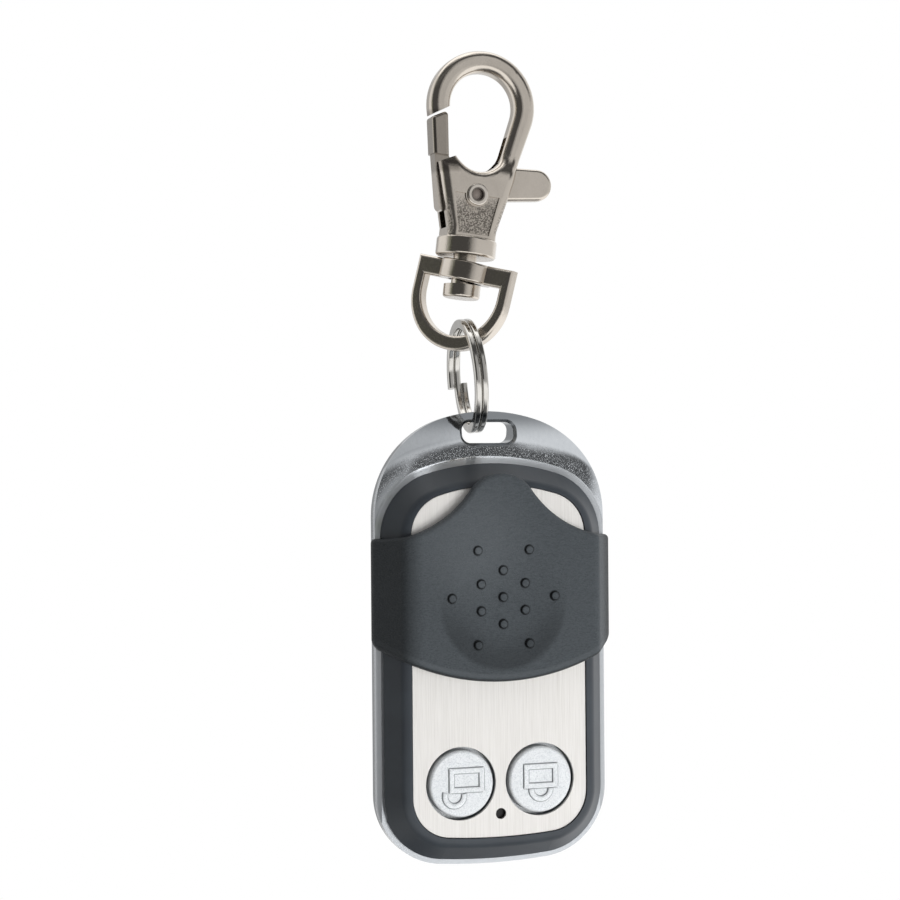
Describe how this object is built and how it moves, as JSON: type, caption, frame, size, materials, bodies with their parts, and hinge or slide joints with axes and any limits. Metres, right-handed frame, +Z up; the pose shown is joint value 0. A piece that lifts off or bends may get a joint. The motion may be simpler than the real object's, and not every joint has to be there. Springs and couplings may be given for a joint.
{
  "type": "learning remote key fob",
  "caption": "Learning remote key fob with a sliding cover over its push buttons, hanging on a split ring from a swivel clasp",
  "frame": {"origin": "the crown of the clasp's eye, on its inner wall, where the fob hangs", "axes": "+Z up along the hanging fob, -Y out of the fob's face, +X to the right of that face"},
  "size_m": [0.0322, 0.0149, 0.1045],
  "materials": {
    "nickel": "nickel-plated zinc casting, polished, slightly worn",
    "spring_steel": "plain bright steel",
    "chrome_frame": "bright chromed die casting",
    "black_shell": "satin black moulding",
    "brushed_plate": "brushed lengthwise",
    "adhesive": "thin double-sided film",
    "charcoal_cover": "satin charcoal with a fine leather grain",
    "silver_cap": "silver lacquer with a fine sparkle",
    "switch_black": "plain moulded",
    "board_green": "lacquered fibreglass board",
    "lamp_red": "clear red lens",
    "copper_wire": "enamelled copper wire",
    "ceramic_tan": "plain ceramic"
  },
  "bodies": {
    "hook": {"clasp_hook": "nickel", "gate_rivet": "nickel", "gate_spring": "spring_steel"},
    "gate": {"clasp_gate": "nickel"},
    "loop": {"swivel_loop": "nickel"},
    "ring": {"split_ring": "nickel"},
    "fob": {"bezel_frame": "chrome_frame", "front_shell": "black_shell", "face_plate": "brushed_plate", "plate_adhesive": "adhesive", "back_cover": "black_shell", "case_screws": "spring_steel", "circuit_board": "board_green", "switch_bodies": "switch_black", "indicator_lamp": "lamp_red", "encoder_chip": "switch_black", "saw_resonator": "spring_steel", "antenna_coil": "copper_wire", "board_passives": "ceramic_tan", "coin_cell": "spring_steel", "cell_clip": "spring_steel", "cell_contact": "spring_steel"},
    "slider": {"slider_cover": "charcoal_cover"},
    "cap_lower_left": {"button_lower_left": "silver_cap", "plunger_lower_left": "switch_black"},
    "cap_lower_right": {"button_lower_right": "silver_cap", "plunger_lower_right": "switch_black"},
    "cap_upper_left": {"button_upper_left": "silver_cap", "plunger_upper_left": "switch_black"},
    "cap_upper_right": {"button_upper_right": "silver_cap", "plunger_upper_right": "switch_black"}
  },
  "joints": [
    {"name": "gate_hinge", "type": "hinge", "parent": "hook", "child": "gate", "pos_m": [-0.00185, 0, -0.01599], "axis": [0, 1, 0], "range_deg": [0, 22], "stiffness_Nm_per_rad": 0.02, "springref_deg": -17.19, "deforming": ["gate_spring"]},
    {"name": "loop_swivel", "type": "hinge", "parent": "hook", "child": "loop", "pos_m": [-0.00298, 0, -0.02578], "axis": [0.1149, 0, 0.9934], "continuous": true},
    {"name": "ring_swing", "type": "hinge", "parent": "loop", "child": "ring", "pos_m": [-0.00329, -0.00007, -0.02855], "axis": [0.7132, 0.6947, -0.0939], "range_deg": [-60, 60]},
    {"name": "fob_swing", "type": "hinge", "parent": "ring", "child": "fob", "pos_m": [-0.00244, 0, -0.03915], "axis": [0.9927, -0.0958, 0.0729], "range_deg": [-80, 80]},
    {"name": "slider_slide", "type": "slide", "parent": "fob", "child": "slider", "axis": [0, 0, -1], "range_m": [0, 0.019]},
    {"name": "press_lower_left", "type": "slide", "parent": "fob", "child": "cap_lower_left", "axis": [0, 1, 0], "range_m": [0, 0.0003], "stiffness_N_per_m": 1000, "springref_m": -0.0002},
    {"name": "press_lower_right", "type": "slide", "parent": "fob", "child": "cap_lower_right", "axis": [0, 1, 0], "range_m": [0, 0.0003], "stiffness_N_per_m": 1000, "springref_m": -0.0002},
    {"name": "press_upper_left", "type": "slide", "parent": "fob", "child": "cap_upper_left", "axis": [0, 1, 0], "range_m": [0, 0.0003], "stiffness_N_per_m": 1000, "springref_m": -0.0002},
    {"name": "press_upper_right", "type": "slide", "parent": "fob", "child": "cap_upper_right", "axis": [0, 1, 0], "range_m": [0, 0.0003], "stiffness_N_per_m": 1000, "springref_m": -0.0002}
  ]
}
